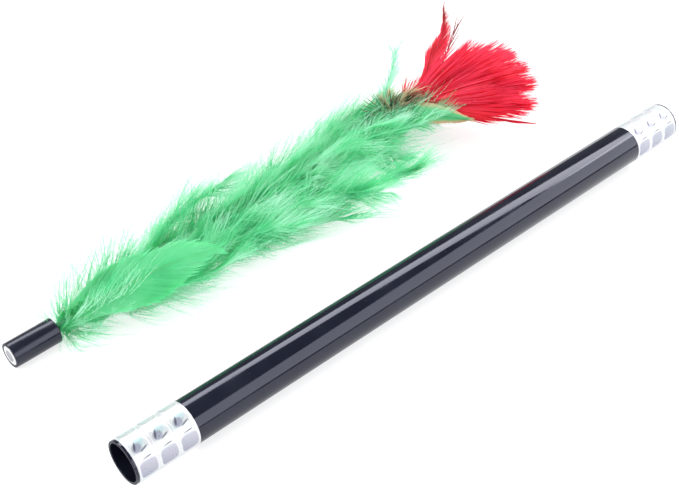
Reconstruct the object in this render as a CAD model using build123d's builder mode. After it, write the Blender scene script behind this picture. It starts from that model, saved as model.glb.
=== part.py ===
"""Magic wand with a feather flower.

A black tube, closed at its far end by a plug, wears a band of foil tape at each end.
The flower is a thin stem with tiers of green feathers, a few natural hackles and a
head of red feathers.  Its weighted base, the slug, goes into the tube's open mouth.
The flower lies on the table beside the wand.

Frame: millimetres, +Z up.  The origin is the centre of the wand's open mouth, and the
wand's axis runs along +X.  The foil bands and the slug rest on one flat floor.
"""
import os
from math import cos, radians, sin

from build123d import *

os.makedirs("parts", exist_ok=True)

# Wand
wand_length = 345.0
wand_diameter = 20.0
wand_wall = 1.2
rim_round = 0.3
band_thickness = 0.2
near_band_length = 29.4
near_band_inset = 1.2
far_band_length = 31.3
far_band_inset = 1.0
plug_length = 10.0
plug_clearance = 0.05
plug_seat_depth = 0.3
catch_diameter = 14.0
catch_thickness = 1.5

# Slug, the flower's weighted base
slug_diameter = 12.0
slug_length = 23.0
slug_wall = 1.2
slug_start_x = -1.3
slug_start_y = 84.5
slug_heading = 1.6
magnet_thickness = 5.0
core_recess = 0.5
glue_clearance = 0.05

# Stem
stem_diameter = 1.6
stem_rise = 3.2
stem_bend_radius = 60.0
stem_in_core = 12.0

# Feathers
quill_diameter = 0.9
quill_tip_diameter = 0.3
quill_clearance = 0.04
knee_swell = 0.03
vane_thickness = 0.5
bare_quill = 6.0
bound_quill = 4.0
thread_thickness = 0.5
thread_clearance = 0.04
first_tier = 2.0
tier_count = 9
tier_spacing = 23.5
green_length = 100.0
green_half_width = 8.5
green_slimness = 11.0
hackle_length = 15.0
hackle_half_width = 2.0
tier_to_hackles = 16.0
hackles_to_head = 12.0

floor_z = -wand_diameter / 2 - band_thickness
bore_radius = wand_diameter / 2 - wand_wall
stem_radius = stem_diameter / 2
quill_radius = quill_diameter / 2


def finish(part, name):
    """Label a finished piece and write its STEP file."""
    part.label = name
    export_step(part, f"parts/{name}.step")


# ---------------------------------------------------------------- wand
across_wand = Plane.YZ
plug_start = wand_length - plug_length
plug_seat_radius = bore_radius + plug_seat_depth

# The tube, open at the mouth and at the far end, where a wider seat stops the plug at its shoulder
with BuildPart() as wand_tube:
    with BuildSketch(across_wand):
        Circle(wand_diameter / 2)
        Circle(bore_radius, mode=Mode.SUBTRACT)
    extrude(amount=wand_length)
    with BuildSketch(across_wand.offset(plug_start)):
        Circle(plug_seat_radius)
    extrude(amount=plug_length, mode=Mode.SUBTRACT)
    rims = wand_tube.edges().filter_by(GeomType.CIRCLE).group_by(Axis.X)
    fillet(rims[0] + rims[-1], rim_round)
finish(wand_tube.part, "wand_tube")


def foil_band(start, length):
    """A turn of foil tape round the tube, from start along the wand."""
    with BuildPart() as band:
        with BuildSketch(across_wand.offset(start)):
            Circle(wand_diameter / 2 + band_thickness)
            Circle(wand_diameter / 2, mode=Mode.SUBTRACT)
        extrude(amount=length)
    return band.part


finish(foil_band(near_band_inset, near_band_length), "near_foil_band")
far_band_start = wand_length - far_band_inset - far_band_length
finish(foil_band(far_band_start, far_band_length), "far_foil_band")

# The plug, glued flush in the far end, with a pocket in its inner face for the catch disc
with BuildPart() as end_plug:
    with BuildSketch(across_wand.offset(plug_start)):
        Circle(plug_seat_radius - plug_clearance)
    extrude(amount=plug_length)
    with BuildSketch(across_wand.offset(plug_start)):
        Circle(catch_diameter / 2 + plug_clearance)
    extrude(amount=catch_thickness, mode=Mode.SUBTRACT)
finish(end_plug.part, "end_plug")

# The steel disc that the slug's magnet catches on when the flower is loaded
with BuildPart() as catch_disc:
    with BuildSketch(across_wand.offset(plug_start)):
        Circle(catch_diameter / 2)
    extrude(amount=catch_thickness)
finish(catch_disc.part, "catch_disc")

# ---------------------------------------------------------------- slug
slug_centre_z = floor_z + slug_diameter / 2
slug_forward = Vector(cos(radians(slug_heading)), sin(radians(slug_heading)), 0)
slug_face = Vector(slug_start_x, slug_start_y, slug_centre_z)


def across_slug(distance):
    """The plane across the slug at a distance behind its magnet's end."""
    return Plane(origin=slug_face + slug_forward * distance, z_dir=slug_forward)


slug_bore = slug_diameter / 2 - slug_wall
with BuildPart() as slug_sleeve:
    with BuildSketch(across_slug(0)):
        Circle(slug_diameter / 2)
        Circle(slug_bore, mode=Mode.SUBTRACT)
    extrude(amount=slug_length)
    fillet(slug_sleeve.edges().filter_by(GeomType.CIRCLE), rim_round)
finish(slug_sleeve.part, "slug_sleeve")

with BuildPart() as slug_magnet:
    with BuildSketch(across_slug(0)):
        Circle(slug_bore - glue_clearance)
    extrude(amount=magnet_thickness)
    fillet(slug_magnet.edges().filter_by(GeomType.CIRCLE), rim_round)
finish(slug_magnet.part, "slug_magnet")

# The core fills the sleeve behind the magnet and holds the foot of the stem
core_length = slug_length - core_recess - magnet_thickness
with BuildPart() as slug_core:
    with BuildSketch(across_slug(magnet_thickness)):
        Circle(slug_bore - glue_clearance)
    extrude(amount=core_length)
    with BuildSketch(across_slug(slug_length)):
        Circle(stem_radius + glue_clearance)
    extrude(amount=-core_recess - stem_in_core, mode=Mode.SUBTRACT)
finish(slug_core.part, "slug_core")

# ---------------------------------------------------------------- stem
tier_stations = [first_tier + tier_spacing * tier for tier in range(tier_count)]
hackle_station = tier_stations[-1] + tier_to_hackles
head_station = hackle_station + hackles_to_head
stem_length = head_station + bound_quill

# The stem leaves the slug along its axis and rises a little towards the flower's head.
stem_start = slug_face + slug_forward * slug_length
along = slug_forward * cos(radians(stem_rise)) + Vector(0, 0, sin(radians(stem_rise)))
aside = Vector(0, 0, 1).cross(slug_forward)
above = along.cross(aside)


def on_stem(station):
    """The point on the stem's middle line at a station, counted from the slug."""
    return stem_start + along * station


with BuildPart() as stem:
    with BuildLine() as stem_line:
        FilletPolyline(
            stem_start - slug_forward * (core_recess + stem_in_core),
            stem_start,
            on_stem(stem_length),
            radius=stem_bend_radius,
        )
    with BuildSketch(across_slug(slug_length - core_recess - stem_in_core)):
        Circle(stem_radius)
    sweep(path=stem_line.line)
finish(stem.part, "stem")

# ---------------------------------------------------------------- feathers
quill_ring = stem_radius + quill_clearance + quill_radius


def feather(station, azimuth, lean, across, length, half_width):
    """A feather tied to the stem: a quill, bound along the stem, and a flat vane.

    azimuth is where its quill lies round the stem, in degrees from aside towards above.
    lean is how far it stands off, aside and above, for each millimetre along the stem.
    across is the direction across its vane, near enough square to the quill.
    """
    round_stem = aside * cos(radians(azimuth)) + above * sin(radians(azimuth))
    foot = on_stem(station) + round_stem * quill_ring
    knee = foot + along * bound_quill
    outward = (along + aside * lean[0] + above * lean[1]).normalized()
    vane = Plane(origin=knee, x_dir=outward, z_dir=outward.cross(across))
    widest = (bare_quill + length) / 2
    with BuildPart() as piece:
        with BuildSketch(Plane(origin=foot, z_dir=along)):
            Circle(quill_radius)
        extrude(amount=bound_quill)
        with Locations(knee):
            Sphere(quill_radius + knee_swell)
        with BuildSketch(vane):
            with BuildLine():
                ThreePointArc((bare_quill, 0), (widest, half_width), (length, 0))
                ThreePointArc((length, 0), (widest, -half_width), (bare_quill, 0))
            make_face()
        extrude(amount=vane_thickness / 2, both=True)
        with BuildSketch(vane):
            with BuildLine():
                Polyline(
                    (0, 0),
                    (widest, 0),
                    (widest, quill_tip_diameter / 2),
                    (0, quill_radius),
                    close=True,
                )
            make_face()
        revolve(axis=Axis(knee, outward))
    return piece.part


class Cone:
    """The flattened cone round the stem that the feathers of one tier lean out on."""

    def __init__(self, aside_lean, above_lean, lift):
        self.aside_lean = aside_lean
        self.above_lean = above_lean
        self.lift = lift

    def lean(self, azimuth):
        turn = radians(azimuth)
        return self.aside_lean * cos(turn), self.lift + self.above_lean * sin(turn)

    def across(self, azimuth):
        turn = radians(azimuth)
        return above * (self.above_lean * cos(turn)) - aside * (self.aside_lean * sin(turn))


# Green feathers, three to a tier, each tier turned half a step from the one before
# and none reaching past the bare quills of the red head
green_cone = Cone(aside_lean=0.30, above_lean=0.16, lift=0.06)
green_limit = head_station + bare_quill
for tier, station in enumerate(tier_stations):
    length = min(green_length, green_limit - station - bound_quill)
    half_width = min(green_half_width, length / green_slimness)
    for place, letter in enumerate("abc"):
        azimuth = 90 + 120 * place + 60 * (tier % 2)
        green_feather = feather(
            station,
            azimuth,
            green_cone.lean(azimuth),
            green_cone.across(azimuth),
            length,
            half_width,
        )
        finish(green_feather, f"green_feather_{tier + 1}{letter}")

# Undyed hackles that hide the bindings under the red head
hackle_cone = Cone(aside_lean=0.26, above_lean=0.20, lift=0.02)
for place, letter in enumerate("abc"):
    azimuth = 30 + 120 * place
    hackle = feather(
        hackle_station,
        azimuth,
        hackle_cone.lean(azimuth),
        hackle_cone.across(azimuth),
        hackle_length,
        hackle_half_width,
    )
    finish(hackle, f"natural_hackle_{letter}")

# Red feathers of the head: azimuth, lean aside, lean above, length, half width
red_head = {
    "red_petal_upper": (90, 0.55, 0.36, 78, 6.5),
    "red_petal_upper_rear": (40, 0.40, 0.26, 58, 6.5),
    "red_petal_fan_a": (140, -0.20, 0.15, 72, 9),
    "red_petal_fan_b": (350, -0.38, 0.07, 74, 10),
    "red_petal_fan_c": (190, -0.50, -0.01, 72, 10),
    "red_petal_fan_d": (300, -0.66, -0.09, 66, 8),
    "red_petal_spike": (240, -0.85, -0.17, 60, 3),
}
for name, (azimuth, lean_aside, lean_above, length, half_width) in red_head.items():
    lean = (lean_aside, lean_above)
    finish(feather(head_station, azimuth, lean, aside, length, half_width), name)

# Thread bound round the quills of each tier, the hackles and the head
with BuildPart() as thread_bindings:
    for station in [*tier_stations, hackle_station, head_station]:
        with BuildSketch(Plane(origin=on_stem(station), z_dir=along)):
            Circle(quill_ring + quill_radius + thread_clearance + thread_thickness)
            Circle(quill_ring + quill_radius + thread_clearance, mode=Mode.SUBTRACT)
        extrude(amount=bound_quill)
finish(thread_bindings.part, "thread_bindings")
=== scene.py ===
import math
import random

import bmesh
import bpy
import numpy as np
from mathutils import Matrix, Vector


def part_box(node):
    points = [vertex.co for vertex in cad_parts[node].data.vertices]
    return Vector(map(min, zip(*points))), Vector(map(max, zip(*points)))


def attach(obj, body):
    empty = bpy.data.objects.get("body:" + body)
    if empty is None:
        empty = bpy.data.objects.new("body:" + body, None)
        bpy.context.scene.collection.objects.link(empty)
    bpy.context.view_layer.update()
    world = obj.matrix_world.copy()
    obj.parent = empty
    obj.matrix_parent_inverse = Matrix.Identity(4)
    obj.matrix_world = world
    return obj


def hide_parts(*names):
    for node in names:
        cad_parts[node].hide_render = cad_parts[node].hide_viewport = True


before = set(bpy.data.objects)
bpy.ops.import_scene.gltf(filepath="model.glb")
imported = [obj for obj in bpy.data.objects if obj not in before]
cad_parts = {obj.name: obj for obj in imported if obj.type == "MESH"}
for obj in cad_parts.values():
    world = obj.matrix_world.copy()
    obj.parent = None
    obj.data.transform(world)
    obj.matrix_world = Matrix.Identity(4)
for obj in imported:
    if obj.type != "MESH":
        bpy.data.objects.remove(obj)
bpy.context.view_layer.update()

# ---------------------------------------------------------------- camera
# A long lens looks down on the wand and its flower from in front of the mouth, on the side that is away
# from the flower. The standard view keeps colours as they are lit.
camera_data = bpy.data.cameras.new("camera")
camera_data.sensor_width = 36.0
camera_data.lens = 64.376
camera_data.clip_start = 0.01
camera = bpy.data.objects.new("camera", camera_data)
bpy.context.scene.collection.objects.link(camera)
camera.location = (-0.13978, -0.28130, 0.37444)
camera.rotation_euler = (math.radians(90 - 40.832), 0, math.radians(47.954 - 90))
bpy.context.scene.camera = camera
bpy.context.scene.view_settings.view_transform = "Standard"


# ---------------------------------------------------------------- table top
# A white lacquered board under everything, lit by three soft boxes and a faint even light. It isn't
# part of the wand.
floor_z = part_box("near_foil_band")[0][2]


def add(tree, kind, inputs=None, **settings):
    """Makes a node. An input is given by its name or number, as a value or another node's socket."""
    made = tree.nodes.new(kind)
    for name, value in settings.items():
        setattr(made, name, value)
    for name, value in (inputs or {}).items():
        if isinstance(value, bpy.types.NodeSocket):
            tree.links.new(value, made.inputs[name])
        else:
            made.inputs[name].default_value = value
    return made


def calc(tree, operation, *values):
    """A Math node's result."""
    return add(tree, "ShaderNodeMath", dict(enumerate(values)), operation=operation).outputs[0]


def noise(tree, place, scale, detail=2.0):
    """A noise texture's value."""
    inputs = {"Vector": place, "Scale": scale, "Detail": detail}
    return add(tree, "ShaderNodeTexNoise", inputs).outputs["Fac"]


def mixed(tree, share, first, second, **settings):
    """Two colours mixed. The share and the colours are values or sockets."""
    inputs = {"Factor": share, 6: first, 7: second}
    return add(tree, "ShaderNodeMix", inputs, data_type="RGBA", **settings).outputs[2]


def spread(tree, value, low, high):
    """A value from 0 to 1, spread from low to high."""
    return add(tree, "ShaderNodeMapRange", {0: value, 3: low, 4: high}).outputs[0]


def wire(tree, shader, **sources):
    """Links sockets to a shader's inputs, which are given by name."""
    for label, source in sources.items():
        tree.links.new(source, shader.inputs[label.replace("_", " ").title()])


def bumped(tree, height, strength, distance):
    """A normal that is raised by a height."""
    inputs = {"Height": height, "Strength": strength, "Distance": distance}
    return add(tree, "ShaderNodeBump", inputs).outputs[0]


def object_place(tree):
    """The place on the object, which patterns are laid out by."""
    return add(tree, "ShaderNodeTexCoord").outputs["Object"]


def surface(name, **settings):
    """A material with one Principled shader, whose plain values are given by name."""
    material = bpy.data.materials.new(name)
    material.use_nodes = True
    shader = material.node_tree.nodes["Principled BSDF"]
    for label, value in settings.items():
        shader.inputs[label.replace("_", " ").title().replace("Ior", "IOR")].default_value = value
    return material, material.node_tree, shader


def ramp(tree, factor, *stops):
    """A colour ramp's colour, from stops of (place, colour)."""
    made = add(tree, "ShaderNodeValToRGB", {0: factor})
    elements = made.color_ramp.elements
    while len(elements) < len(stops):
        elements.new(0.5)
    for element, (place, colour) in zip(elements, stops):
        element.position = place
        element.color = (*colour, 1)
    return made.outputs[0]


def clouded(name, scale, detail, dark, light, rough=None, relief=None, **settings):
    """A material whose colour varies in soft clouds, and so may its roughness or its relief."""
    material, tree, shader = surface(name, **settings)
    cloud = noise(tree, object_place(tree), scale, detail)
    wire(tree, shader, base_color=ramp(tree, cloud, dark, light))
    if rough:
        wire(tree, shader, roughness=spread(tree, cloud, *rough))
    if relief:
        wire(tree, shader, normal=bumped(tree, cloud, *relief))
    return material


def piece_of(name, vertices, faces, material, smooth=True):
    """A mesh piece at the origin, with its place in its mesh."""
    mesh = bpy.data.meshes.new(name)
    mesh.from_pydata([tuple(v) for v in vertices], [], [tuple(f) for f in faces])
    mesh.materials.append(material)
    if smooth:
        mesh.shade_smooth()
    made = bpy.data.objects.new(name, mesh)
    bpy.context.scene.collection.objects.link(made)
    return made


board = clouded(
    "white_board", 6.0, 4.0, (0.3, (0.41, 0.415, 0.42)), (0.7, (0.43, 0.43, 0.43)),
    roughness=0.5, specular_ior_level=0.2, emission_color=(1, 1, 1, 1), emission_strength=0.68,
)
board_reach = 2.5
corners = [(x * board_reach, y * board_reach, floor_z) for x, y in ((-1, -1), (1, -1), (1, 1), (-1, 1))]
table_top = piece_of("table_top", corners, [(0, 1, 2, 3)], board, smooth=False)


def soft_box(name, place, aim, size, power, tint=(1, 1, 1)):
    """A rectangular soft box that points at a spot."""
    light = bpy.data.lights.new(name, "AREA")
    light.shape = "RECTANGLE"
    light.size, light.size_y = size
    light.energy = power
    light.color = tint
    made = bpy.data.objects.new(name, light)
    made.location = place
    made.rotation_euler = (Vector(aim) - Vector(place)).to_track_quat("-Z", "Y").to_euler()
    bpy.context.scene.collection.objects.link(made)


wand_middle = (0.17, 0, 0)
board_middle = (0.17, 0.04, 0)
soft_box("front_box", (1.0, -1.25, 0.78), wand_middle, (3.4, 1.35), 42, (0.97, 0.98, 1.0))
soft_box("rear_box", (1.0, 0.78, 1.35), wand_middle, (3.4, 0.62), 46, (0.99, 0.99, 1.0))
soft_box("left_box", (-1.1, 0.2, 1.2), board_middle, (1.5, 1.5), 27)

world = bpy.data.worlds.new("studio")
world.use_nodes = True
bpy.context.scene.world = world
background = world.node_tree.nodes["Background"]
background.inputs["Color"].default_value = (0.95, 0.97, 1.0, 1)
background.inputs["Strength"].default_value = 0.22


# ---------------------------------------------------------------- wand tube
# An extruded black plastic tube with a wall of 1.2 mm, glossy, with the faint long lines of the die. It
# is sawn square, which leaves its end faces dull, and its rims are slightly round. The plug and the
# foil bands are stuck to it.
def round_size(node_name):
    """Where a round CAD node starts along X, its length and its radius."""
    low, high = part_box(node_name)
    return low[0], high[0] - low[0], (high[1] - low[1]) / 2


def lathe(name, profile, material, start, forward, turns=160, closed=True):
    """Turns a profile of (distance along, radius) round a line from start. A closed profile is a ring."""
    forward = Vector(forward).normalized()
    side = forward.orthogonal().normalized()
    up = forward.cross(side)
    vertices, faces = [], []
    rows = []
    for distance, radius in profile:
        if radius == 0:
            rows.append([len(vertices)] * turns)
            vertices.append(Vector(start) + forward * distance)
            continue
        rows.append(list(range(len(vertices), len(vertices) + turns)))
        for step in range(turns):
            angle = math.tau * step / turns
            spoke = side * math.cos(angle) + up * math.sin(angle)
            vertices.append(Vector(start) + forward * distance + spoke * radius)
    pairs = list(zip(rows, rows[1:] + rows[:1])) if closed else list(zip(rows, rows[1:]))
    for near, far in pairs:
        for step in range(turns):
            corner = [near[step], far[step], far[(step + 1) % turns], near[(step + 1) % turns]]
            faces.append(list(dict.fromkeys(corner)))
    made = piece_of(name, vertices, faces, material)
    outward(made)
    return made


def outward(made):
    """Turns a closed piece's faces outwards."""
    work = bmesh.new()
    work.from_mesh(made.data)
    bmesh.ops.remove_doubles(work, verts=work.verts, dist=1e-7)
    bmesh.ops.recalc_face_normals(work, faces=work.faces)
    work.to_mesh(made.data)
    work.free()
    made.data.shade_smooth()


def ring_profile(length, outer, inner, rounding, steps=5, seat_length=0.0, seat_depth=0.0):
    """The closed outline of a tube's wall, with round rims and a seat in the bore's far end."""
    outline = []
    corners = [
        (rounding, outer - rounding, 90, 180),
        (rounding, inner + rounding, 180, 270),
        (length - rounding, inner + seat_depth + rounding, 270, 360),
        (length - rounding, outer - rounding, 0, 90),
    ]
    for number, (along, out, first, last) in enumerate(corners):
        if number == 2 and seat_depth:
            outline.append((length - seat_length, inner))
            outline.append((length - seat_length, inner + seat_depth))
        for step in range(steps + 1):
            angle = math.radians(first + (last - first) * step / steps)
            outline.append((along + rounding * math.cos(angle), out + rounding * math.sin(angle)))
    return outline


def mark_cut(made, start, forward, length):
    """Marks the flat ends of a tube, where the saw has left the plastic dull."""
    layer = made.data.attributes.new("cut", "FLOAT", "POINT")
    for vertex in made.data.vertices:
        at = (vertex.co - Vector(start)).dot(Vector(forward).normalized())
        layer.data[vertex.index].value = 1.0 if min(abs(at), abs(length - at)) < 1e-5 else 0.0


def effect(name, inputs, outputs):
    """A shader node group with named number inputs. Gives its tree, its inputs and its output node."""
    tree = bpy.data.node_groups.new(name, "ShaderNodeTree")
    for label in inputs:
        tree.interface.new_socket(label, in_out="INPUT", socket_type="NodeSocketFloat")
    for label, kind in outputs.items():
        tree.interface.new_socket(label, in_out="OUTPUT", socket_type="NodeSocket" + kind)
    return tree, tree.nodes.new("NodeGroupInput").outputs, tree.nodes.new("NodeGroupOutput").inputs


def placed(tree, group, **values):
    """Places a shader node group in a material, with its own values."""
    made = tree.nodes.new("ShaderNodeGroup")
    made.node_tree = group
    for label, value in values.items():
        made.inputs[label.replace("_", " ").title()].default_value = value
    return made.outputs


fine_relief = 0.0001

# The wear that every black plastic part shows: the die's long lines along X, smudges, specks of dust
# and the dull face that the saw leaves.
plastic_wear, wear_given, wear_result = effect(
    "plastic_wear", ["Dull"], {"Colour": "Color", "Roughness": "Float", "Lines": "Float"},
)
wear_place = object_place(plastic_wear)
along_the_tube = {"Vector": wear_place, "Scale": (6.0, 900.0, 900.0)}
stretched = add(plastic_wear, "ShaderNodeMapping", along_the_tube).outputs[0]
die_lines = noise(plastic_wear, stretched, 1.0, 3.0)
smudges = noise(plastic_wear, wear_place, 60.0, 5.0)
specks = add(plastic_wear, "ShaderNodeTexVoronoi", {"Vector": wear_place, "Scale": 420.0})
dust = calc(plastic_wear, "LESS_THAN", specks.outputs["Distance"], 0.045)
dullest = calc(plastic_wear, "ADD", wear_given["Dull"], 0.09)
smudge_range = {0: smudges, 1: 0.35, 2: 0.75, 3: wear_given["Dull"], 4: dullest}
smudged = add(plastic_wear, "ShaderNodeMapRange", smudge_range).outputs[0]
dusty = calc(plastic_wear, "MAXIMUM", smudged, calc(plastic_wear, "MULTIPLY", dust, 0.5))
saw_cut = add(plastic_wear, "ShaderNodeAttribute", attribute_name="cut").outputs["Fac"]
sawn = calc(plastic_wear, "MAXIMUM", dusty, calc(plastic_wear, "MULTIPLY", saw_cut, 0.6))
black = ramp(plastic_wear, smudges, (0.3, (0.005, 0.006, 0.013)), (0.8, (0.010, 0.012, 0.021)))
dusted = mixed(plastic_wear, calc(plastic_wear, "MULTIPLY", dust, 0.25), black, (0.3, 0.3, 0.3, 1))
plastic_wear.links.new(dusted, wear_result["Colour"])
plastic_wear.links.new(sawn, wear_result["Roughness"])
plastic_wear.links.new(die_lines, wear_result["Lines"])


def black_plastic(name, scratch, dull):
    """Black plastic, with its own depth of die lines and its own dullness."""
    material, tree, shader = surface(name, specular_ior_level=0.5, specular_tint=(0.82, 0.84, 1.0, 1))
    wear = placed(tree, plastic_wear, dull=dull)
    raised = bumped(tree, wear["Lines"], scratch, fine_relief)
    wire(tree, shader, base_color=wear["Colour"], roughness=wear["Roughness"], normal=raised)
    return material


tube_start, tube_length, tube_radius = round_size("wand_tube")
tube_wall = 0.0012
rim_round = 0.0003
seat = {"seat_length": 0.010, "seat_depth": 0.0003}
tube_profile = ring_profile(tube_length, tube_radius, tube_radius - tube_wall, rim_round, **seat)
tube_plastic = black_plastic("tube_plastic", scratch=0.12, dull=0.06)
wand_tube = lathe("black_tube", tube_profile, tube_plastic, (tube_start, 0, 0), (1, 0, 0), turns=192)
mark_cut(wand_tube, (tube_start, 0, 0), (1, 0, 0), tube_length)
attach(wand_tube, "wand")
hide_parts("wand_tube")


# ---------------------------------------------------------------- foil bands
# One turn of self-adhesive foil tape round each end, embossed with rows of small round lenses. Their lilac
# and cyan tints, dark glints, shaded pads and bright rims are painted reflections and painted shade. The
# tape is butted to itself under the wand, where no joint is modelled.
def foil_tape():
    """Silver foil: the painted reflections and shade of its lens pattern come from the mesh, its fine
    crinkle from noise.
    """
    material, tree, shader = surface("prismatic_foil", metallic=0.3, specular_ior_level=0.6)
    tint = add(tree, "ShaderNodeAttribute", attribute_name="foil_reflection_paint").outputs["Color"]
    place = object_place(tree)
    crinkle = noise(tree, place, 1100.0, 3.0)
    cloud = noise(tree, place, 160.0, 2.0)
    sheen = ramp(tree, cloud, (0.3, (0.93, 1.0, 1.0)), (0.5, (1.0, 1.0, 1.0)), (0.7, (0.98, 0.95, 1.0)))
    colour = mixed(tree, 1.0, tint, sheen, blend_type="MULTIPLY")
    raised = bumped(tree, crinkle, 0.2, fine_relief)
    wire(tree, shader, base_color=colour, roughness=spread(tree, crinkle, 0.22, 0.38), normal=raised)
    return material


foil = foil_tape()
lens_rows = 6
first_row = 52
lenses_along = 3
emboss_depth = 0.00018
glue_line = 0.00001
flat_edge = 0.0005
# The foil's own colour, then painted reflections: lilac and cyan tints, dark glints where the lenses
# mirror dark gaps, and bright rims.
white_foil = np.array((0.60, 0.615, 0.625))
lilac_reflection = np.array((0.29, 0.29, 0.37))
cyan_reflection = np.array((0.40, 0.56, 0.58))
dark_reflection = np.array((0.05, 0.05, 0.08))
rim_highlight = np.array((0.75, 0.76, 0.77))


def spot(x, y, middle_x, middle_y, half_x, half_y, slant=0.0, soft=0.35):
    """How far inside a soft slanted oval a place is, from 0 to 1."""
    dx, dy = x - middle_x, y - middle_y
    dx, dy = dx * math.cos(slant) + dy * math.sin(slant), dy * math.cos(slant) - dx * math.sin(slant)
    return max(0.0, min(1.0, (1 - math.hypot(dx / half_x, dy / half_y)) / soft))


# Painted glints on each kind of lens: cyan and lilac patches, dark wedges and a dark dash.
painted_lens_glints = (
    ((cyan_reflection, 0.4, (-0.1, -0.1, 0.3, 0.2)),),
    (
        (cyan_reflection, 0.7, (0.06, 0.12, 0.30, 0.22, 0.5)),
        (lilac_reflection, 0.9, (-0.14, -0.06, 0.26, 0.22, 0.3)),
        (dark_reflection, 0.85, (-0.20, 0.02, 0.055, 0.22, -0.5)),
        (dark_reflection, 0.8, (0.10, -0.20, 0.24, 0.04, 0.3)),
    ),
    ((dark_reflection, 0.95, (0.02, 0.455, 0.30, 0.05, 0.12)),),
)


def lens_relief_and_reflections(kind, x, y):
    """The height of one embossed lens, and its colour with painted reflections, shade and a rim highlight.
    Its middle is at 0, 0 and its half size is 0.5.
    """
    out = (abs(x) ** 4 + abs(y) ** 4) ** 0.25 / 0.43
    pillow = max(0.0, 1 - out ** 4) ** 0.5
    rim = math.exp(-((out - 1.0) / 0.07) ** 2)
    colour = white_foil
    if kind == 0:
        # Painted reflection: a soft darker arc across the lens.
        reflected_arc = spot(x, y, 0, 0, 0.44, 0.40) * (1 - spot(x, y, 0.02, -0.08, 0.42, 0.36))
        colour = colour + (lilac_reflection * 0.55 - colour) * reflected_arc
    elif kind == 2:
        # Painted shade: the pad is darker lilac towards one side.
        pad_shade = min(1.0, pillow * 1.6) * (0.75 - 0.5 * y - 0.25 * x)
        colour = colour + (lilac_reflection - colour) * max(0.0, min(1.0, pad_shade))
    for tone, strength, oval in painted_lens_glints[kind]:
        colour = colour + (tone - colour) * spot(x, y, *oval) * strength
    # Painted highlight along each lens's rim.
    colour = colour + (rim_highlight - colour) * rim * 0.7
    return pillow * 0.8 - rim * 0.5, colour


def foil_band(node_name, name):
    """The band as a closed sleeve whose outer skin carries the embossed lenses."""
    start, length, outer = round_size(node_name)
    inner = tube_radius + glue_line
    around, along_steps = 420, 150
    vertices, foil_colours_and_reflections = [], []
    for step in range(along_steps + 1):
        x = step / along_steps
        column = x * lenses_along
        for turn in range(around):
            angle = math.tau * turn / around
            row = (math.degrees(angle) - first_row) * lens_rows / 360
            number = math.floor(row + 0.5)
            across = min(column, lenses_along - 0.001) % 1 - 0.5
            height, colour = lens_relief_and_reflections(number % 3, across, number - row)
            edge = min(1.0, min(x, 1 - x) * length / flat_edge)
            radius = outer - emboss_depth * (1 - max(0.0, 0.4 + 0.6 * height) * edge)
            vertices.append((start + x * length, radius * math.cos(angle), radius * math.sin(angle)))
            foil_colours_and_reflections.append((*colour, 1))
    faces = []
    for step in range(along_steps):
        for turn in range(around):
            after = (turn + 1) % around
            near, far = step * around, (step + 1) * around
            faces.append((near + turn, near + after, far + after, far + turn))
    shift = len(vertices)
    for x in (start, start + length):
        for turn in range(around):
            angle = math.tau * turn / around
            vertices.append((x, inner * math.cos(angle), inner * math.sin(angle)))
            foil_colours_and_reflections.append((*white_foil, 1))
    last = along_steps * around
    for turn in range(around):
        after = (turn + 1) % around
        faces.append((turn, shift + turn, shift + after, after))
        faces.append((last + turn, last + after, shift + around + after, shift + around + turn))
        faces.append((shift + turn, shift + around + turn, shift + around + after, shift + after))
    made = piece_of(name, vertices, faces, foil)
    layer = made.data.attributes.new("foil_reflection_paint", "FLOAT_COLOR", "POINT")
    layer.data.foreach_set("color", np.array(foil_colours_and_reflections, dtype=float).ravel())
    outward(made)
    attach(made, "wand")
    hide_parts(node_name)
    return made


foil_band("near_foil_band", "near_foil")
foil_band("far_foil_band", "far_foil")


# ---------------------------------------------------------------- end plug and catch disc
# A moulded black plug glued into the closed end, and the plain steel disc in its inner face that
# the slug's magnet clings to. The disc is seen only down the bore.
plug_start, plug_length, plug_radius = round_size("end_plug")
disc_start, disc_length, disc_radius = round_size("catch_disc")
plug_plastic = black_plastic("plug_plastic", scratch=0.05, dull=0.22)
dish = 0.0002
pocket_radius = disc_radius + 0.00005
plug_corner = 0.0004
plug_profile = [
    (disc_length, 0), (disc_length, pocket_radius), (0, pocket_radius), (0, plug_radius - rim_round),
    (rim_round, plug_radius), (plug_length - plug_corner, plug_radius),
    (plug_length, plug_radius - plug_corner), (plug_length, plug_radius * 0.72),
    (plug_length - dish, plug_radius * 0.70), (plug_length - dish, 0),
]
plug_seat = (plug_start, 0, 0)
end_plug = lathe("closed_end_plug", plug_profile, plug_plastic, plug_seat, (1, 0, 0), 96, closed=False)
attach(end_plug, "wand")
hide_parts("end_plug")

steel, steel_tree, steel_shader = surface("turned_steel", metallic=1.0, base_color=(0.5, 0.5, 0.51, 1))
turning = {"Vector": object_place(steel_tree), "Scale": 900.0, "Distortion": 0.6}
steel_rings = add(steel_tree, "ShaderNodeTexWave", turning, wave_type="RINGS", rings_direction="X")
wire(steel_tree, steel_shader, roughness=spread(steel_tree, steel_rings.outputs["Fac"], 0.22, 0.42))
disc_corner = 0.0002
disc_profile = [
    (0, 0), (0, disc_radius - disc_corner), (disc_corner, disc_radius), (disc_length, disc_radius),
    (disc_length, 0),
]
disc_seat = (disc_start, 0, 0)
catch_disc = lathe("steel_catch_disc", disc_profile, steel, disc_seat, (1, 0, 0), 96, closed=False)
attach(catch_disc, "wand")
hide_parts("catch_disc")


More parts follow.
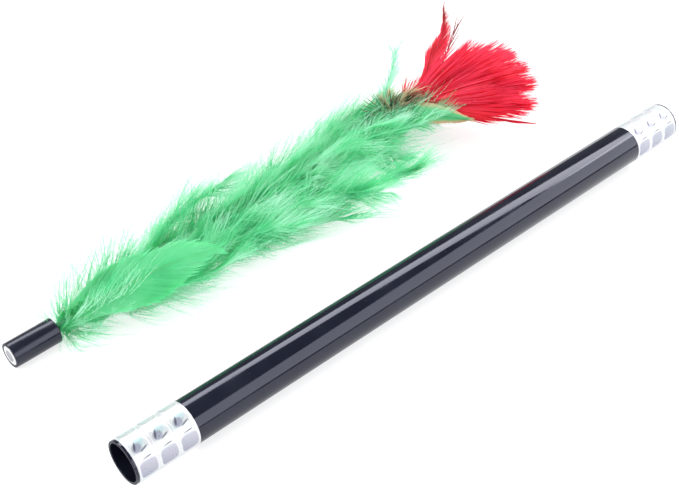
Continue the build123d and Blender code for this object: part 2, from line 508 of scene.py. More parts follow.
# ---------------------------------------------------------------- slug
# The flower's weighted base: a short length of thinner black tube with a nickel-plated disc magnet
# set flush in its near end and glue behind it, which holds the foot of the stem.
slug_heading = math.radians(1.6)
slug_forward = Vector((math.cos(slug_heading), math.sin(slug_heading), 0))
slug_radius = 0.006
slug_length = 0.023
slug_wall = 0.0012
slug_face = Vector((-0.0013, 0.0845, floor_z + slug_radius))

sleeve_plastic = black_plastic("sleeve_plastic", scratch=0.25, dull=0.2)
sleeve_profile = ring_profile(slug_length, slug_radius, slug_radius - slug_wall, rim_round)
slug_sleeve = lathe("slug_tube", sleeve_profile, sleeve_plastic, slug_face, slug_forward, 128)
mark_cut(slug_sleeve, slug_face, slug_forward, slug_length)

magnet_radius = slug_radius - slug_wall - 0.00005
magnet_length = 0.005
# Painted shade: the middle of the magnet's face, out to this share of its radius, is painted darker.
shaded_share = 0.6
plating, plating_tree, plating_shader = surface("nickel_plating", metallic=1.0)
plating_cloud = noise(plating_tree, object_place(plating_tree), 500.0, 4.0)
bright_plating = ramp(plating_tree, plating_cloud, (0.3, (0.70, 0.70, 0.70)), (0.8, (0.80, 0.80, 0.80)))
# The plating's colour is mixed to a darker grey in the middle of the face, as painted shade.
plating_shaded_middle = add(plating_tree, "ShaderNodeAttribute", attribute_name="shaded_middle").outputs["Fac"]
plating_colour = mixed(plating_tree, plating_shaded_middle, bright_plating, (0.30, 0.31, 0.34, 1))
plating_rough = spread(plating_tree, plating_cloud, 0.16, 0.34)
wire(plating_tree, plating_shader, base_color=plating_colour, roughness=plating_rough)
magnet_corner = 0.0003
magnet_profile = [
    (0.00008, 0), (0.00008, magnet_radius * 0.52), (0.00002, magnet_radius * 0.58),
    (0, magnet_radius * 0.62), (0, magnet_radius - magnet_corner), (0.0001, magnet_radius - 0.0001),
    (magnet_corner, magnet_radius),
    (magnet_length - magnet_corner, magnet_radius), (magnet_length, magnet_radius - magnet_corner),
    (magnet_length, 0),
]
slug_magnet = lathe("slug_disc_magnet", magnet_profile, plating, slug_face, slug_forward, 96, closed=False)
shaded_middle_layer = slug_magnet.data.attributes.new("shaded_middle", "FLOAT", "POINT")
for vertex in slug_magnet.data.vertices:
    away = (vertex.co - slug_face).cross(slug_forward).length
    shaded_middle_layer.data[vertex.index].value = 1.0 if away < magnet_radius * shaded_share else 0.0

glue = clouded(
    "set_glue", 350.0, 5.0, (0.3, (0.45, 0.55, 0.40)), (0.75, (0.75, 0.76, 0.62)), relief=(0.4, 0.0003),
    roughness=0.35, subsurface_weight=0.3,
)
glue_start = magnet_length
glue_end = slug_length - 0.0005
meniscus = 0.0012
glue_profile = [
    (glue_start, 0), (glue_start, magnet_radius), (glue_end + 0.0003, magnet_radius),
    (glue_end - 0.0004, magnet_radius * 0.8), (glue_end - 0.0003, magnet_radius * 0.4),
    (glue_end + meniscus, 0.0010), (glue_end + meniscus, 0),
]
slug_core = lathe("slug_glue", glue_profile, glue, slug_face, slug_forward, 64, closed=False)
for made, node, slot in (
    (slug_sleeve, "slug_sleeve", "black_sleeve"),
    (slug_magnet, "slug_magnet", "magnet_plating"),
    (slug_core, "slug_core", "glue_core"),
):
    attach(made, "flower")
    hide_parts(node)


# ---------------------------------------------------------------- stem
# A thin wire, lacquered dark green, that is glued into the slug and carries every feather. It hardly
# shows between them. The CAD solid's shape is right, so it stays and only gets its lacquer.
along_tilt = math.radians(3.2)
stem_start = slug_face + slug_forward * slug_length
along = slug_forward * math.cos(along_tilt) + Vector((0, 0, 1)) * math.sin(along_tilt)
aside = Vector((0, 0, 1)).cross(slug_forward)
above = along.cross(aside)

lacquer = clouded(
    "stem_lacquer", 700.0, 2.0, (0.3, (0.01, 0.10, 0.04)), (0.7, (0.03, 0.22, 0.09)), rough=(0.3, 0.5),
    coat_weight=0.3,
)
for face_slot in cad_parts["stem"].material_slots:
    face_slot.material = lacquer


def on_stem(station):
    """A point on the stem's middle line, this far behind the slug."""
    return stem_start + along * station


# ---------------------------------------------------------------- thread bindings
# Waxed green sewing thread, wound eleven times round the stem over the foot of each group of quills
# and knotted off. Each binding is about 4 mm long.
tier_count = 9
tier_spacing = 0.0235
first_tier = 0.002
tiers = [first_tier + tier_spacing * tier for tier in range(tier_count)]
hackle_station = tiers[-1] + 0.016
head_station = hackle_station + 0.012
binding_length = 0.004
binding_radius = 0.00205
thread_radius = 0.00019


class Field:
    """A node socket that can be added, multiplied and so on, which makes Math or Vector Math nodes."""

    def __init__(self, tree, socket):
        self.tree = tree
        self.socket = socket

    def is_vector(self):
        return self.socket.type in ("VECTOR", "RGBA")

    def do(self, operation, *others):
        kind = "ShaderNodeVectorMath" if self.is_vector() else "ShaderNodeMath"
        values = [self.socket] + [bare(other) for other in others]
        made = add(self.tree, kind, dict(enumerate(values)), operation=operation)
        number = operation in ("DOT_PRODUCT", "LENGTH", "DISTANCE")
        return Field(self.tree, made.outputs[1 if number else 0])

    def __add__(self, other):
        return self.do("ADD", other)

    __radd__ = __add__

    def __sub__(self, other):
        return self.do("SUBTRACT", other)

    def __rsub__(self, other):
        return self.do("MULTIPLY", -1.0).do("ADD", other)

    def __mul__(self, other):
        if not self.is_vector():
            if isinstance(other, Field) and other.is_vector():
                return other * self
            return self.do("MULTIPLY", other)
        values = {0: self.socket, "Scale": bare(other)}
        made = add(self.tree, "ShaderNodeVectorMath", values, operation="SCALE")
        return Field(self.tree, made.outputs[0])

    __rmul__ = __mul__

    def __truediv__(self, other):
        return self.do("DIVIDE", other)

    def __pow__(self, other):
        return self.do("POWER", other)

    def sin(self):
        return self.do("SINE")

    def cos(self):
        return self.do("COSINE")


def bare(value):
    """A field's socket, or the value itself."""
    return value.socket if isinstance(value, Field) else value


def node(tree, kind, inputs=None, **settings):
    """Makes a node from fields and values."""
    return add(tree, kind, {name: bare(value) for name, value in (inputs or {}).items()}, **settings)


def field(tree, kind, inputs=None, **settings):
    """The first output of a node that is made from fields and values."""
    return Field(tree, node(tree, kind, inputs, **settings).outputs[0])


def tree_of(name, sockets):
    """A Geometry Nodes tree with named inputs, and a dictionary of those inputs as fields."""
    tree = bpy.data.node_groups.new(name, "GeometryNodeTree")
    tree.interface.new_socket("Geometry", in_out="INPUT", socket_type="NodeSocketGeometry")
    for label, kind in sockets.items():
        tree.interface.new_socket(label, in_out="INPUT", socket_type="NodeSocket" + kind)
    tree.interface.new_socket("Geometry", in_out="OUTPUT", socket_type="NodeSocketGeometry")
    given = tree.nodes.new("NodeGroupInput")
    return tree, {label: Field(tree, given.outputs[label]) for label in ["Geometry", *sockets]}


def keep(tree, geometry, label, value, kind="FLOAT", domain="POINT"):
    """Stores a named attribute on the geometry."""
    inputs = {"Geometry": geometry, "Name": label, "Value": value}
    return field(tree, "GeometryNodeStoreNamedAttribute", inputs, data_type=kind, domain=domain)


def kept(tree, label, kind="FLOAT"):
    """Reads a named attribute."""
    return field(tree, "GeometryNodeInputNamedAttribute", {"Name": label}, data_type=kind)


def close_tree(tree, geometry, material):
    """Ends a tree in Realize Instances and Set Material."""
    made = field(tree, "GeometryNodeRealizeInstances", {0: geometry})
    made = field(tree, "GeometryNodeSetMaterial", {0: made, "Material": material})
    tree.links.new(made.socket, tree.nodes.new("NodeGroupOutput").inputs[0])


def grown(name, points, tree, values):
    """A plain mesh that a tree makes along a line of points."""
    line = bpy.data.meshes.new(name)
    line.from_pydata([tuple(p) for p in points], [(i, i + 1) for i in range(len(points) - 1)], [])
    made = bpy.data.objects.new(name, line)
    bpy.context.scene.collection.objects.link(made)
    modifier = made.modifiers.new("grow", "NODES")
    modifier.node_group = tree
    for socket in tree.interface.items_tree:
        if socket.item_type == "SOCKET" and socket.in_out == "INPUT" and socket.name in values:
            modifier[socket.identifier] = values[socket.name]
    graph = bpy.context.evaluated_depsgraph_get()
    evaluated = made.evaluated_get(graph)
    mesh = bpy.data.meshes.new_from_object(evaluated, preserve_all_data_layers=True, depsgraph=graph)
    made.modifiers.clear()
    made.data = mesh
    mesh.name = name
    bpy.data.meshes.remove(line)
    return made


winding_sockets = {label: "Float" for label in ("Turns", "Radius", "Thread", "Length")}
winding_tree, given = tree_of("thread winding", {**winding_sockets, "Material": "Material"})
coil = node(winding_tree, "GeometryNodeCurveSpiral", {
    "Resolution": 22, "Rotations": given["Turns"], "Height": given["Length"],
    "Start Radius": given["Radius"], "End Radius": given["Radius"],
})
coil_profile = node(winding_tree, "GeometryNodeCurvePrimitiveCircle", {
    "Resolution": 6, "Radius": given["Thread"],
}, mode="RADIUS")
coil_mesh = node(winding_tree, "GeometryNodeCurveToMesh", {
    "Curve": coil.outputs[0], "Profile Curve": coil_profile.outputs[0], "Fill Caps": True,
})
coil_points = node(winding_tree, "GeometryNodeMeshToPoints", {"Mesh": given["Geometry"]})
coil_turn = node(winding_tree, "FunctionNodeAlignRotationToVector", {"Vector": tuple(along)}, axis="Z")
coils = node(winding_tree, "GeometryNodeInstanceOnPoints", {
    "Points": coil_points.outputs[0], "Instance": coil_mesh.outputs[0], "Rotation": coil_turn.outputs[0],
})
close_tree(winding_tree, coils.outputs[0], given["Material"])

thread, thread_tree, thread_shader = surface("waxed_thread", roughness=0.55, sheen_weight=0.3)
thread_lay = {"Vector": object_place(thread_tree), "Scale": 1500.0, "Distortion": 2.0}
thread_twist = add(thread_tree, "ShaderNodeTexWave", thread_lay).outputs["Fac"]
# Painted shade: the thread is darker in the low grooves of its twist, where the same wave lowers its
# relief.
thread_colour = ramp(thread_tree, thread_twist, (0.2, (0.01, 0.16, 0.06)), (0.8, (0.05, 0.42, 0.18)))
raised_thread = bumped(thread_tree, thread_twist, 0.5, fine_relief)
wire(thread_tree, thread_shader, base_color=thread_colour, normal=raised_thread)

binding_feet = [on_stem(station) for station in [*tiers, hackle_station, head_station]]
bindings = grown("thread_windings", binding_feet, winding_tree, {
    "Turns": 11.0, "Radius": binding_radius, "Thread": thread_radius, "Length": binding_length,
    "Material": thread,
})
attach(bindings, "flower")
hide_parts("thread_bindings")


# ---------------------------------------------------------------- green feathers
# Twenty-seven dyed feathers, tied on in nine tiers of three. Each has a pale quill and hundreds of
# barbs: loose down near its foot, and a closed vane or separate wisps further up.
def barb(name, steps, fuzz_count):
    """One barb to be copied: a flat ribbon, with short barbules along both its edges."""
    vertices, faces, values = [], [], []
    for step in range(steps + 1):
        for reach in (-1, 1):
            vertices.append((step / steps, reach, 0))
            values.append((step / steps, reach, 0, 0))
    for step in range(steps):
        faces.append((2 * step, 2 * step + 2, 2 * step + 3, 2 * step + 1))
    for count in range(fuzz_count):
        foot = 0.05 + 0.88 * (count + chance.random()) / fuzz_count
        side = 1 if count % 2 else -1
        long = chance.uniform(0.6, 1.1)
        rise = chance.uniform(-0.7, 0.7)
        first = len(vertices)
        for v, out in ((foot, 0), (foot + 0.011, 0), (foot + chance.uniform(0.02, 0.06), 1)):
            vertices.append((v, side * (1 + out), out))
            values.append((min(v, 1.0), 0, out * side * long, out * rise * long))
        faces.append((first, first + 1, first + 2))
    made = piece_of(name, vertices, faces, None)
    made.data.materials.clear()
    for place, label in enumerate(("v", "reach", "fuzz", "rise")):
        layer = made.data.attributes.new(label, "FLOAT", "POINT")
        layer.data.foreach_set("value", [float(value[place]) for value in values])
    return made


chance = random.Random(11)
downy_barb = barb("downy_barb", steps=7, fuzz_count=18)
vane_barb = barb("vane_barb", steps=7, fuzz_count=0)

row_numbers = (
    "Start", "End", "Length", "Base Share", "Tip Share", "Base Angle", "Tip Angle", "Ease", "Curl",
    "Half Width", "Scatter", "Clumps", "Pull", "Lift", "Droop", "Puff", "Sway", "Twist", "Cup", "Tilt",
    "Fuzz", "Ragged", "Map Start", "Map End",
)
row_sockets = {label: "Float" for label in row_numbers}
row_sockets.update({"Barb": "Object", "Barbs": "Int", "Flat Side": "Vector", "Seed": "Int"})
row_tree, given = tree_of("row of barbs", row_sockets)
trimmed = field(row_tree, "GeometryNodeTrimCurve", {
    0: given["Geometry"], "Start": given["Start"], "End": given["End"],
}, mode="FACTOR")
spots = node(row_tree, "GeometryNodeCurveToPoints", {0: trimmed, "Count": given["Barbs"]}, mode="COUNT")
count = field(row_tree, "GeometryNodeInputIndex").do("ADD", 0.0)
place = field(row_tree, "GeometryNodeInputPosition")
points = keep(row_tree, spots.outputs[0], "root", place, "FLOAT_VECTOR")
points = keep(row_tree, points, "run", spots.outputs["Tangent"], "FLOAT_VECTOR")
points = keep(row_tree, points, "u", count / given["Barbs"])
points = keep(row_tree, points, "side", (count.do("MODULO", 2.0) * 2.0) - 1.0)
for step, label in enumerate(("chance", "chance_b", "chance_c")):
    draw = node(row_tree, "FunctionNodeRandomValue", {8: given["Seed"] + step * 1000.0}, data_type="FLOAT")
    points = keep(row_tree, points, label, draw.outputs[1])
shape = node(row_tree, "GeometryNodeObjectInfo", {"Object": given["Barb"], "As Instance": False})
copies = {"Points": points, "Instance": shape.outputs["Geometry"]}
copies = field(row_tree, "GeometryNodeInstanceOnPoints", copies)
copies = field(row_tree, "GeometryNodeRealizeInstances", {0: copies})

# Barbs reach their full length over this share of the row, and this share of them stray. None rises over
# the plume's top, and those that touch the floor lie on it in a thin layer.
full_length_from = 0.4
stray_share = 0.07
plume_top = 0.047
floor_gap = 0.0002
lowest_layer = 0.0012
root = kept(row_tree, "root", "FLOAT_VECTOR")
run = kept(row_tree, "run", "FLOAT_VECTOR")
u, v, side, reach = (kept(row_tree, label) for label in ("u", "v", "side", "reach"))
luck, luck_b, luck_c = (kept(row_tree, label) for label in ("chance", "chance_b", "chance_c"))
level = run.do("CROSS_PRODUCT", given["Flat Side"]).do("NORMALIZE")
raised = level.do("CROSS_PRODUCT", run)
turn = given["Twist"] * u
across = level * turn.cos() + raised * turn.sin()
face = raised * turn.cos() - level * turn.sin()
fold = given["Cup"]
out_way = across * (side * fold.cos()) + face * fold.sin()
face_way = face * fold.cos() - across * (side * fold.sin())
clump_at = u * given["Clumps"] + side * 0.37
clump = clump_at.do("FRACT") - 0.5
lot = clump_at.do("FLOOR") + side * 23.0 + given["Seed"]
drawn = node(row_tree, "ShaderNodeTexWhiteNoise", {"W": lot}, noise_dimensions="1D")
drawn = node(row_tree, "ShaderNodeSeparateXYZ", {0: drawn.outputs["Color"]})
lot_a, lot_b, lot_c = (Field(row_tree, output) for output in drawn.outputs)
swell = field(row_tree, "ShaderNodeMapRange", {
    0: u, 2: full_length_from, 3: given["Base Share"], 4: 1.0,
}, interpolation_type="SMOOTHSTEP")
fade = 1.0 - (1.0 - given["Tip Share"]) * u ** 2.5
stray = given["Ragged"] * luck_c.do("GREATER_THAN", 1.0 - stray_share)
ragged = 1.0 - given["Ragged"] * (luck_b * 0.4 + lot_a * 0.8)
reached = given["Length"] * swell * fade * ragged * (stray * 1.3 + 1.0)
angle = given["Base Angle"] + (given["Tip Angle"] - given["Base Angle"]) * u ** given["Ease"]
angle = angle + (luck * 0.6 + lot_b - 0.8) * given["Scatter"] - clump * given["Pull"]
curl = given["Curl"] + (luck_c - 0.5) * given["Scatter"] * 1.5 + 0.013
heading = angle - curl * v
forward_share = (angle.sin() - heading.sin()) / curl
outward_share = (heading.cos() - angle.cos()) / curl
sway_at = root * 140.0 + run * (v * 1.6)
sway = node(row_tree, "ShaderNodeTexNoise", {"Vector": sway_at, "Scale": 1.0, "Detail": 1.0})
sway = (Field(row_tree, sway.outputs["Color"]) - (0.5, 0.5, 0.5)) * (given["Sway"] * v)
rise = given["Lift"] * v - given["Droop"] * v ** 2.0 + given["Puff"] * (luck * 0.5 + lot_c - 0.75) * v
centre = root + (run * forward_share + out_way * outward_share + face_way * rise) * reached + sway
broad = run * heading.sin() - out_way * heading.cos()
tilt = given["Tilt"] * (luck_c * 1.4 + 0.3)
broad = broad * tilt.cos() + face_way * tilt.sin()
taper = 1.0 - 0.9 * v ** 3.0
centre = centre + broad * (reach * given["Half Width"] * taper)
fuzz_way = broad * kept(row_tree, "fuzz") + face_way * kept(row_tree, "rise")
centre = centre + fuzz_way * (given["Fuzz"] * (1.0 - 0.5 * v))
x, y, z = node(row_tree, "ShaderNodeSeparateXYZ", {0: centre}).outputs
lying = Field(row_tree, z).do("MAXIMUM", luck * lowest_layer + (floor_z + floor_gap))
lying = lying.do("MINIMUM", plume_top)
centre = field(row_tree, "ShaderNodeCombineXYZ", {0: x, 1: y, 2: lying})
copies = field(row_tree, "GeometryNodeSetPosition", {"Geometry": copies, "Position": centre})

# The place of each barb in the OFBake map, where vane, down and quill take a strip each.
map_side = reach + kept(row_tree, "fuzz")
map_share = u + (0.5 + 0.35 * map_side) / given["Barbs"]
map_x = given["Map Start"] + (given["Map End"] - given["Map Start"]) * map_share
map_spot = field(row_tree, "ShaderNodeCombineXYZ", {0: map_x, 1: v * 0.98 + 0.01})
copies = keep(row_tree, copies, "OFBake", map_spot, "FLOAT2", "CORNER")
row_tree.links.new(copies.socket, row_tree.nodes.new("NodeGroupOutput").inputs[0])

feather_sockets = {label: kind for label, kind in row_sockets.items() if not label.startswith("Map")}
feather_sockets.update({"Down Barb": "Object", "Down Barbs": "Int", "Material": "Material"})
feather_sockets.update({label: "Float" for label in ("Down Length", "Down End", "Down Angle", "Quill")})
feather_tree, given = tree_of("feather", feather_sockets)
# The strips of the OFBake map: two by their ends, and the quill's by its start and width.
vane_strip = (0.0, 0.74)
down_strip = (0.75, 0.97)
quill_strip = (0.975, 0.02)
quill_line = field(feather_tree, "GeometryNodeMeshToCurve", {0: given["Geometry"]})
share = Field(feather_tree, node(feather_tree, "GeometryNodeSplineParameter").outputs["Factor"])
quill_size = given["Quill"] * (1.0 - 0.8 * share)
quill_curve = keep(feather_tree, quill_line, "u", share)
ring = {"Resolution": 6, "Radius": 1.0}
round_profile = field(feather_tree, "GeometryNodeCurvePrimitiveCircle", ring, mode="RADIUS")
around_share = node(feather_tree, "GeometryNodeSplineParameter").outputs["Factor"]
round_profile = keep(feather_tree, round_profile, "v", around_share)
quill = field(feather_tree, "GeometryNodeCurveToMesh", {
    "Curve": quill_curve, "Profile Curve": round_profile, "Scale": quill_size, "Fill Caps": True,
})
quill = keep(feather_tree, quill, "quill", 1.0)
quill_spot = {0: kept(feather_tree, "v") * quill_strip[1] + quill_strip[0], 1: kept(feather_tree, "u")}
quill_spot = field(feather_tree, "ShaderNodeCombineXYZ", quill_spot)
quill = keep(feather_tree, quill, "OFBake", quill_spot, "FLOAT2", "CORNER")


def look_of(base, **changes):
    """A look's values by the names of their sockets: those of another look, with changes."""
    return {**base, **{label.replace("_", " ").title(): value for label, value in changes.items()}}


down_look = look_of(
    {}, base_share=0.75, tip_share=0.8, tip_angle=0.8, curl=1.2, half_width=0.00009, scatter=1.5,
    clumps=9.0, pull=0.5, lift=0.0, droop=0.1, puff=1.3, sway=0.012, fuzz=0.0014, ragged=0.5, cup=0.0,
    tilt=0.6,
)
down_sources = {
    "Barb": "Down Barb", "Barbs": "Down Barbs", "Length": "Down Length", "End": "Down End",
    "Base Angle": "Down Angle",
}
rows = []
for down in (False, True):
    row = node(feather_tree, "GeometryNodeGroup", {}, node_tree=row_tree)
    feather_tree.links.new(quill_line.socket, row.inputs["Geometry"])
    for label, value in zip(("Map Start", "Map End"), down_strip if down else vane_strip):
        row.inputs[label].default_value = value
    for label in row_sockets:
        if label not in feather_sockets:
            continue
        if down and label in down_look:
            row.inputs[label].default_value = down_look[label]
            continue
        source = given[down_sources.get(label, label) if down else label]
        if down and label == "Seed":
            source = source + 31.0
        feather_tree.links.new(source.socket, row.inputs[label])
    rows.append(Field(feather_tree, row.outputs[0]))
joined = feather_tree.nodes.new("GeometryNodeJoinGeometry")
for part in (quill, *rows):
    feather_tree.links.new(part.socket, joined.inputs[0])
smoothed = field(feather_tree, "GeometryNodeSetShadeSmooth", {0: joined.outputs[0]})
close_tree(feather_tree, smoothed, given["Material"])


# How colour lies on every feather: darker at the quill, where the barbs crowd, as painted shade, and paler
# at the tips, as painted light on the dyed feathers and their own straw colour on the undyed hackles;
# uneven from barb to barb, with undyed quills and, on some, a differently coloured edge.
dye_and_painted_shade, dye_given, colour_and_shade_result = effect(
    "dye_and_painted_shade", ["Streaks", "Gloss"],
    {"Tone": "Float", "Edge": "Float", "Quill": "Float", "Roughness": "Float"},
)
reading = {}
for label in ("v", "chance", "quill"):
    attribute = add(dye_and_painted_shade, "ShaderNodeAttribute", attribute_name=label)
    reading[label] = Field(dye_and_painted_shade, attribute.outputs["Fac"])
cloud = Field(dye_and_painted_shade, noise(dye_and_painted_shade, object_place(dye_and_painted_shade), 45.0, 3.0))
streaks = Field(dye_and_painted_shade, dye_given["Streaks"])
# The v term is painted shade at the quill end and painted light at the paler tips of the dyed feathers.
tone = reading["v"] * 0.4 + (reading["chance"] - 0.5) * streaks + (cloud - 0.5) * 1.5 + 0.34
near_edge = add(dye_and_painted_shade, "ShaderNodeMapRange", {0: reading["v"].socket, 1: 0.55, 2: 0.8})
barb_gloss = reading["chance"] * 0.2 + (Field(dye_and_painted_shade, dye_given["Gloss"]) - 0.1)
dye_and_painted_shade.links.new(tone.socket, colour_and_shade_result["Tone"])
dye_and_painted_shade.links.new(near_edge.outputs[0], colour_and_shade_result["Edge"])
dye_and_painted_shade.links.new(reading["quill"].socket, colour_and_shade_result["Quill"])
dye_and_painted_shade.links.new(barb_gloss.socket, colour_and_shade_result["Roughness"])


def barb_material(name, deep, light, tip, quill_colour, through=0.4, gloss=0.5, edge=None, streaks=0.45):
    """Dyed feather, which lets some light through."""
    sheen = {"sheen_weight": 0.25, "sheen_roughness": 0.4}
    material, tree, shader = surface(name, specular_ior_level=0.35, **sheen)
    dye_and_shade = placed(tree, dye_and_painted_shade, streaks=streaks, gloss=gloss)
    colour = ramp(tree, dye_and_shade["Tone"], (0.0, deep), (0.5, light), (1.0, tip))
    if edge is not None:
        colour = mixed(tree, dye_and_shade["Edge"], colour, (*edge, 1))
    colour = mixed(tree, dye_and_shade["Quill"], colour, (*quill_colour, 1))
    wire(tree, shader, base_color=colour, roughness=dye_and_shade["Roughness"])
    glow = add(tree, "ShaderNodeBsdfTranslucent", {"Color": colour})
    blend = add(tree, "ShaderNodeMixShader", {0: through, 1: shader.outputs[0], 2: glow.outputs[0]})
    tree.links.new(blend.outputs[0], tree.nodes["Material Output"].inputs["Surface"])
    return material


green_dye = barb_material(
    "green_dye", (0.025, 0.47, 0.17), (0.18, 0.81, 0.42), (0.64, 0.97, 0.81), (0.22, 0.78, 0.42),
    through=0.5,
)
pale_green_dye = barb_material(
    "pale_green_dye", (0.25, 0.72, 0.45), (0.45, 0.88, 0.65), (0.65, 0.95, 0.82), (0.50, 0.85, 0.65),
)
vane_dye = barb_material(
    "vane_dye", (0.05, 0.52, 0.17), (0.13, 0.74, 0.32), (0.26, 0.84, 0.47), (0.30, 0.74, 0.28),
    through=0.5, streaks=0.12,
)
beige_edged_dye = barb_material(
    "beige_edged_dye", (0.03, 0.36, 0.12), (0.12, 0.60, 0.25), (0.25, 0.65, 0.30), (0.5, 0.8, 0.5),
    edge=(0.66, 0.50, 0.28), streaks=0.2,
)

vane_look = look_of(
    {}, barb=vane_barb, barbs=330, start=0.05, end=1.0, length=0.020, base_share=0.6, tip_share=0.45,
    base_angle=0.95, tip_angle=0.28, curl=0.55, half_width=0.00032, scatter=0.05, clumps=5.0, pull=0.05,
    lift=0.0, droop=0.12, puff=0.02, sway=0.0008, twist=0.0, cup=0.0, tilt=0.25, fuzz=0.0, ragged=0.04,
    ease=0.8, down_barb=downy_barb, down_barbs=150, down_length=0.017, down_end=0.34, down_angle=1.1,
    quill=0.00042,
)
wispy_look = look_of(
    vane_look, barb=downy_barb, barbs=760, start=0.02, length=0.043, base_share=0.65, tip_share=0.5,
    base_angle=0.85, tip_angle=0.22, curl=0.1, half_width=0.0001, scatter=0.5, clumps=8.0, pull=0.2,
    droop=0.12, puff=0.8, sway=0.010, tilt=0.5, fuzz=0.0008, ragged=0.5, down_barbs=220,
    down_length=0.020, down_end=0.4, quill=0.00025,
)


def smooth_route(points, count):
    """Points along a smooth curve that passes through the given ones."""
    ends = [points[0] * 2 - points[1], *points, points[-1] * 2 - points[-2]]
    made = []
    for step in range(count + 1):
        at = min(step / count * (len(points) - 1), len(points) - 1.0001)
        index = int(at)
        t = at - index
        a, b, c, d = ends[index:index + 4]
        spot_on = b * 2 + (c - a) * t
        spot_on = spot_on + (a * 2 - b * 5 + c * 4 - d) * t ** 2
        spot_on = spot_on + (b * 3 - a - c * 3 + d) * t ** 3
        made.append(0.5 * spot_on)
    return made


quill_offset = 0.00129
route_steps = 40


def feather(
    name, node_name, station, azimuth, lean, length, look, material,
    bend=(0, 0, 0), flat=None, route=None,
):
    """Grows one feather from its binding, leaning out or along a route, and gives it to the flower."""
    spoke = aside * math.cos(math.radians(azimuth)) + above * math.sin(math.radians(azimuth))
    foot = on_stem(station) + spoke * quill_offset
    knee = foot + along * binding_length
    outward_way = (along + aside * lean[0] + above * lean[1]).normalized()
    bend = aside * bend[0] + above * bend[1] + along * bend[2]
    line = [foot, knee]
    steps = 26
    for step in range(1, steps + 1):
        share = step / steps
        ease = min(1.0, share * 6)
        way = outward_way * (length * share)
        swerve = bend.cross(outward_way) * 0.25 * math.sin(share * 6) * ease
        line.append(knee + way + bend * share ** 2 + swerve)
    if route:
        line = smooth_route([foot, knee, *(Vector(point) for point in route)], route_steps)
    seed = chance.randrange(10000)
    values = look_of(look, flat_side=tuple(flat or spoke), seed=seed, material=material)
    made = grown(name, line, feather_tree, values)
    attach(made, "flower")
    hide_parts(node_name)
    return made


plume_reach = 0.220
upwards = (-0.30, -0.40, 0.86)
for tier, station in enumerate(tiers):
    for place_in_tier in range(3):
        azimuth = 90 + 120 * place_in_tier + 60 * (tier % 2)
        turned = math.radians(azimuth)
        lean = (
            0.30 * math.cos(turned) - 0.05 + chance.uniform(-0.10, 0.10),
            0.06 + 0.16 * math.sin(turned) + chance.uniform(-0.04, 0.02),
        )
        length = min(0.095, plume_reach - station)
        if math.sin(turned) < 0 and tier > 5:
            length += 0.010
        label = f"{tier + 1}{'abc'[place_in_tier]}"
        look = wispy_look
        material = green_dye
        bend = (
            -0.006 * math.cos(turned) + chance.uniform(-0.009, 0.003),
            -0.013 * max(0, math.sin(turned)) + chance.uniform(-0.005, 0.003),
            0,
        )
        flat = None
        route = None
        changes = dict(
            length=0.043 * chance.uniform(0.75, 1.25), base_angle=chance.uniform(0.65, 1.0),
            clumps=chance.uniform(4.0, 9.0), pull=chance.uniform(0.1, 0.5),
            twist=chance.uniform(-0.6, 0.6),
        )
        if tier < 2 and place_in_tier:
            changes = dict(
                down_barbs=460, down_length=0.025, down_angle=1.5, down_end=0.4, start=0.0,
                base_share=1.0, base_angle=1.2, length=0.038,
            )
        if label == "1b":
            route = [
                (0.042, 0.0775, -0.003), (0.062, 0.072, -0.001), (0.085, 0.066, 0.001),
                (0.108, 0.062, 0.003),
            ]
        if tier > 5 and math.sin(turned) > 0:
            length = length * 0.6
            lean = (lean[0] - 0.46, lean[1] - 0.12)
            changes["length"] = 0.020
        if label == "9a":
            route = [(0.228, 0.0950, 0.0120), (0.245, 0.1060, 0.0190), (0.262, 0.1180, 0.0240)]
            material = pale_green_dye
            changes = dict(
                barbs=170, start=0.1, length=0.026, base_angle=0.4, tip_angle=0.2, half_width=0.00016,
                fuzz=0.0007, down_barbs=60,
            )
        if label == "9c":
            changes = dict(barbs=260, length=0.022, down_barbs=60)
        if label == "1a":
            look = vane_look
            route = [
                (0.037, 0.0775, 0.008), (0.053, 0.070, 0.014), (0.0735, 0.066, 0.017),
                (0.092, 0.062, 0.016),
            ]
            flat = upwards
            changes = dict(
                barbs=1000, length=0.024, tip_share=0.85, tilt=0.06, scatter=0.05, sway=0.0014, pull=0.02,
                ragged=0.12, down_barbs=400, down_length=0.012, down_angle=1.4, start=0.0, end=0.86,
                down_end=0.25, base_share=0.35, base_angle=0.75, tip_angle=0.0, ease=4.0, curl=0.3,
                quill=0.0002, half_width=0.0005,
            )
            material = vane_dye
        if label == "9b":
            look = vane_look
            material = beige_edged_dye
            route = [(0.228, 0.0850, 0.0120), (0.241, 0.0755, 0.0140), (0.257, 0.0605, 0.0120)]
            flat = upwards
            changes = dict(
                barbs=700, length=0.015, tip_share=0.8, end=0.9, base_angle=0.55, tip_angle=0.0, ease=4.0,
                curl=0.2, quill=0.0002, down_barbs=60, tilt=0.08, scatter=0.03, half_width=0.0004,
            )
        feather(
            f"green_plume_{label}", f"green_feather_{label}", station, azimuth, lean, length,
            look_of(look, **changes), material, bend, flat, route,
        )


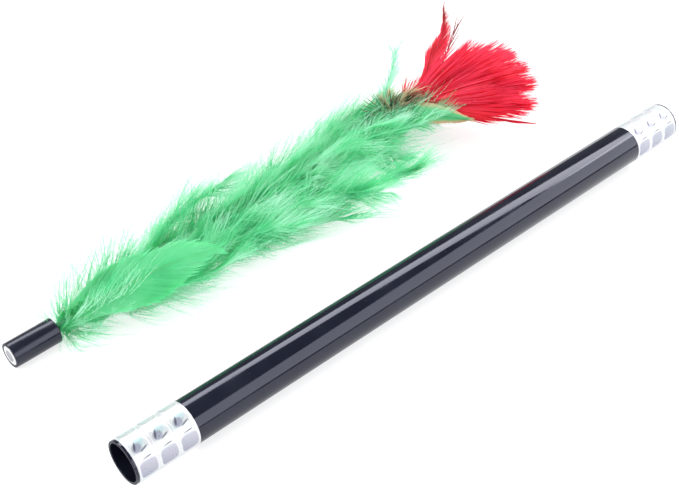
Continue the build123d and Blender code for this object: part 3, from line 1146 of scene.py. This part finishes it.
# ---------------------------------------------------------------- undyed hackles
# Three short cock hackles, tied in at the foot of the red head. They are left undyed, so their barbs
# are brown and black with straw-coloured tips.
hackle_brown = barb_material(
    "hackle_brown", (0.012, 0.008, 0.006), (0.30, 0.14, 0.06), (0.85, 0.62, 0.38), (0.75, 0.58, 0.36),
    through=0.2, streaks=1.1,
)
hackle_look = look_of(
    wispy_look, barb=vane_barb, barbs=150, length=0.016, base_angle=0.6, tip_angle=0.3, half_width=0.0003,
    scatter=0.3, puff=0.5, sway=0.001, down_barbs=20, down_length=0.006, quill=0.0003, ragged=0.3,
)
hackle_routes = (
    [(0.231, 0.0915, 0.014), (0.239, 0.091, 0.0165), (0.248, 0.0905, 0.0175)],
    [(0.229, 0.093, 0.012), (0.234, 0.096, 0.013), (0.240, 0.099, 0.013)],
    [(0.231, 0.088, 0.014), (0.238, 0.0855, 0.0165), (0.247, 0.082, 0.018)],
)
for place_in_tier in range(3):
    azimuth = 30 + 120 * place_in_tier
    letter = "abc"[place_in_tier]
    feather(
        f"undyed_hackle_{letter}", f"natural_hackle_{letter}", hackle_station, azimuth, (0, 0), 0.015,
        hackle_look, hackle_brown, route=hackle_routes[place_in_tier],
    )


# ---------------------------------------------------------------- red head
# Seven red-dyed feathers: one cupped feather and a few bare barbs that stand up, a broad fan whose
# barbs part into points, and one thin spike.
red_dye = barb_material(
    "red_dye", (0.50, 0.001, 0.010), (0.84, 0.005, 0.030), (0.90, 0.04, 0.11), (0.70, 0.03, 0.07),
    through=0.4, gloss=0.45, streaks=0.7,
)
dark_red_dye = barb_material(
    "dark_red_dye", (0.10, 0.002, 0.006), (0.22, 0.01, 0.02), (0.12, 0.02, 0.03), (0.3, 0.03, 0.05),
    through=0.2,
)
fan_look = look_of(
    vane_look, barbs=480, start=0.0, end=0.64, length=0.047, base_share=0.9, tip_share=0.65,
    base_angle=0.27, tip_angle=0.0, ease=2.0, curl=0.08, half_width=0.00034, scatter=0.05, clumps=6.0,
    pull=0.22, droop=0.05, puff=0.25, sway=0.004, tilt=0.2, ragged=0.10, down_barbs=40, down_length=0.010,
    down_end=0.2, quill=0.00025,
)
cupped_look = look_of(
    vane_look, barbs=480, start=0.0, end=0.95, length=0.028, base_share=0.8, tip_share=0.3,
    base_angle=0.36, tip_angle=0.04, curl=0.05, half_width=0.0003, cup=0.35, twist=1.5, clumps=5.0,
    pull=0.08, scatter=0.10, ragged=0.2, sway=0.002, down_barbs=30, down_length=0.009, down_end=0.2,
    quill=0.00025,
)
bare_look = look_of(
    vane_look, barbs=18, start=0.15, end=0.95, length=0.028, base_share=1.0, tip_share=0.6,
    base_angle=0.14, tip_angle=0.06, curl=0.1, half_width=0.00028, scatter=0.15, down_barbs=4,
    down_length=0.012, quill=0.00024,
)
spike_look = look_of(
    vane_look, barbs=120, start=0.1, end=0.9, length=0.016, base_angle=0.18, tip_angle=0.05, curl=0.1,
    half_width=0.00028, down_barbs=10, down_length=0.006,
)
facing = (-0.30, -0.42, 0.85)
for name, look, material, route in (
    ("upper", cupped_look, red_dye,
     [(0.254, 0.093, 0.013), (0.268, 0.099, 0.020), (0.288, 0.110, 0.027), (0.305, 0.1255, 0.032)]),
    ("upper_rear", bare_look, dark_red_dye,
     [(0.256, 0.088, 0.015), (0.275, 0.096, 0.021), (0.300, 0.110, 0.0275)]),
    ("fan_a", fan_look, red_dye,
     [(0.256, 0.0875, 0.0155), (0.279, 0.084, 0.020), (0.310, 0.0745, 0.0215)]),
    ("fan_b", fan_look, red_dye,
     [(0.256, 0.085, 0.015), (0.277, 0.077, 0.018), (0.308, 0.064, 0.020)]),
    ("fan_c", fan_look, red_dye,
     [(0.255, 0.082, 0.0135), (0.274, 0.071, 0.0155), (0.301, 0.053, 0.017)]),
    ("fan_d", fan_look, red_dye,
     [(0.253, 0.080, 0.012), (0.269, 0.067, 0.0125), (0.290, 0.044, 0.014)]),
    ("spike", spike_look, red_dye,
     [(0.253, 0.078, 0.009), (0.266, 0.062, 0.008), (0.285, 0.036, 0.008)]),
):
    feather(
        f"red_{name}", f"red_petal_{name}", head_station, 90, (0, 0), 0.05, look, material,
        flat=facing, route=route,
    )

for template in (downy_barb, vane_barb):
    bpy.data.objects.remove(template)
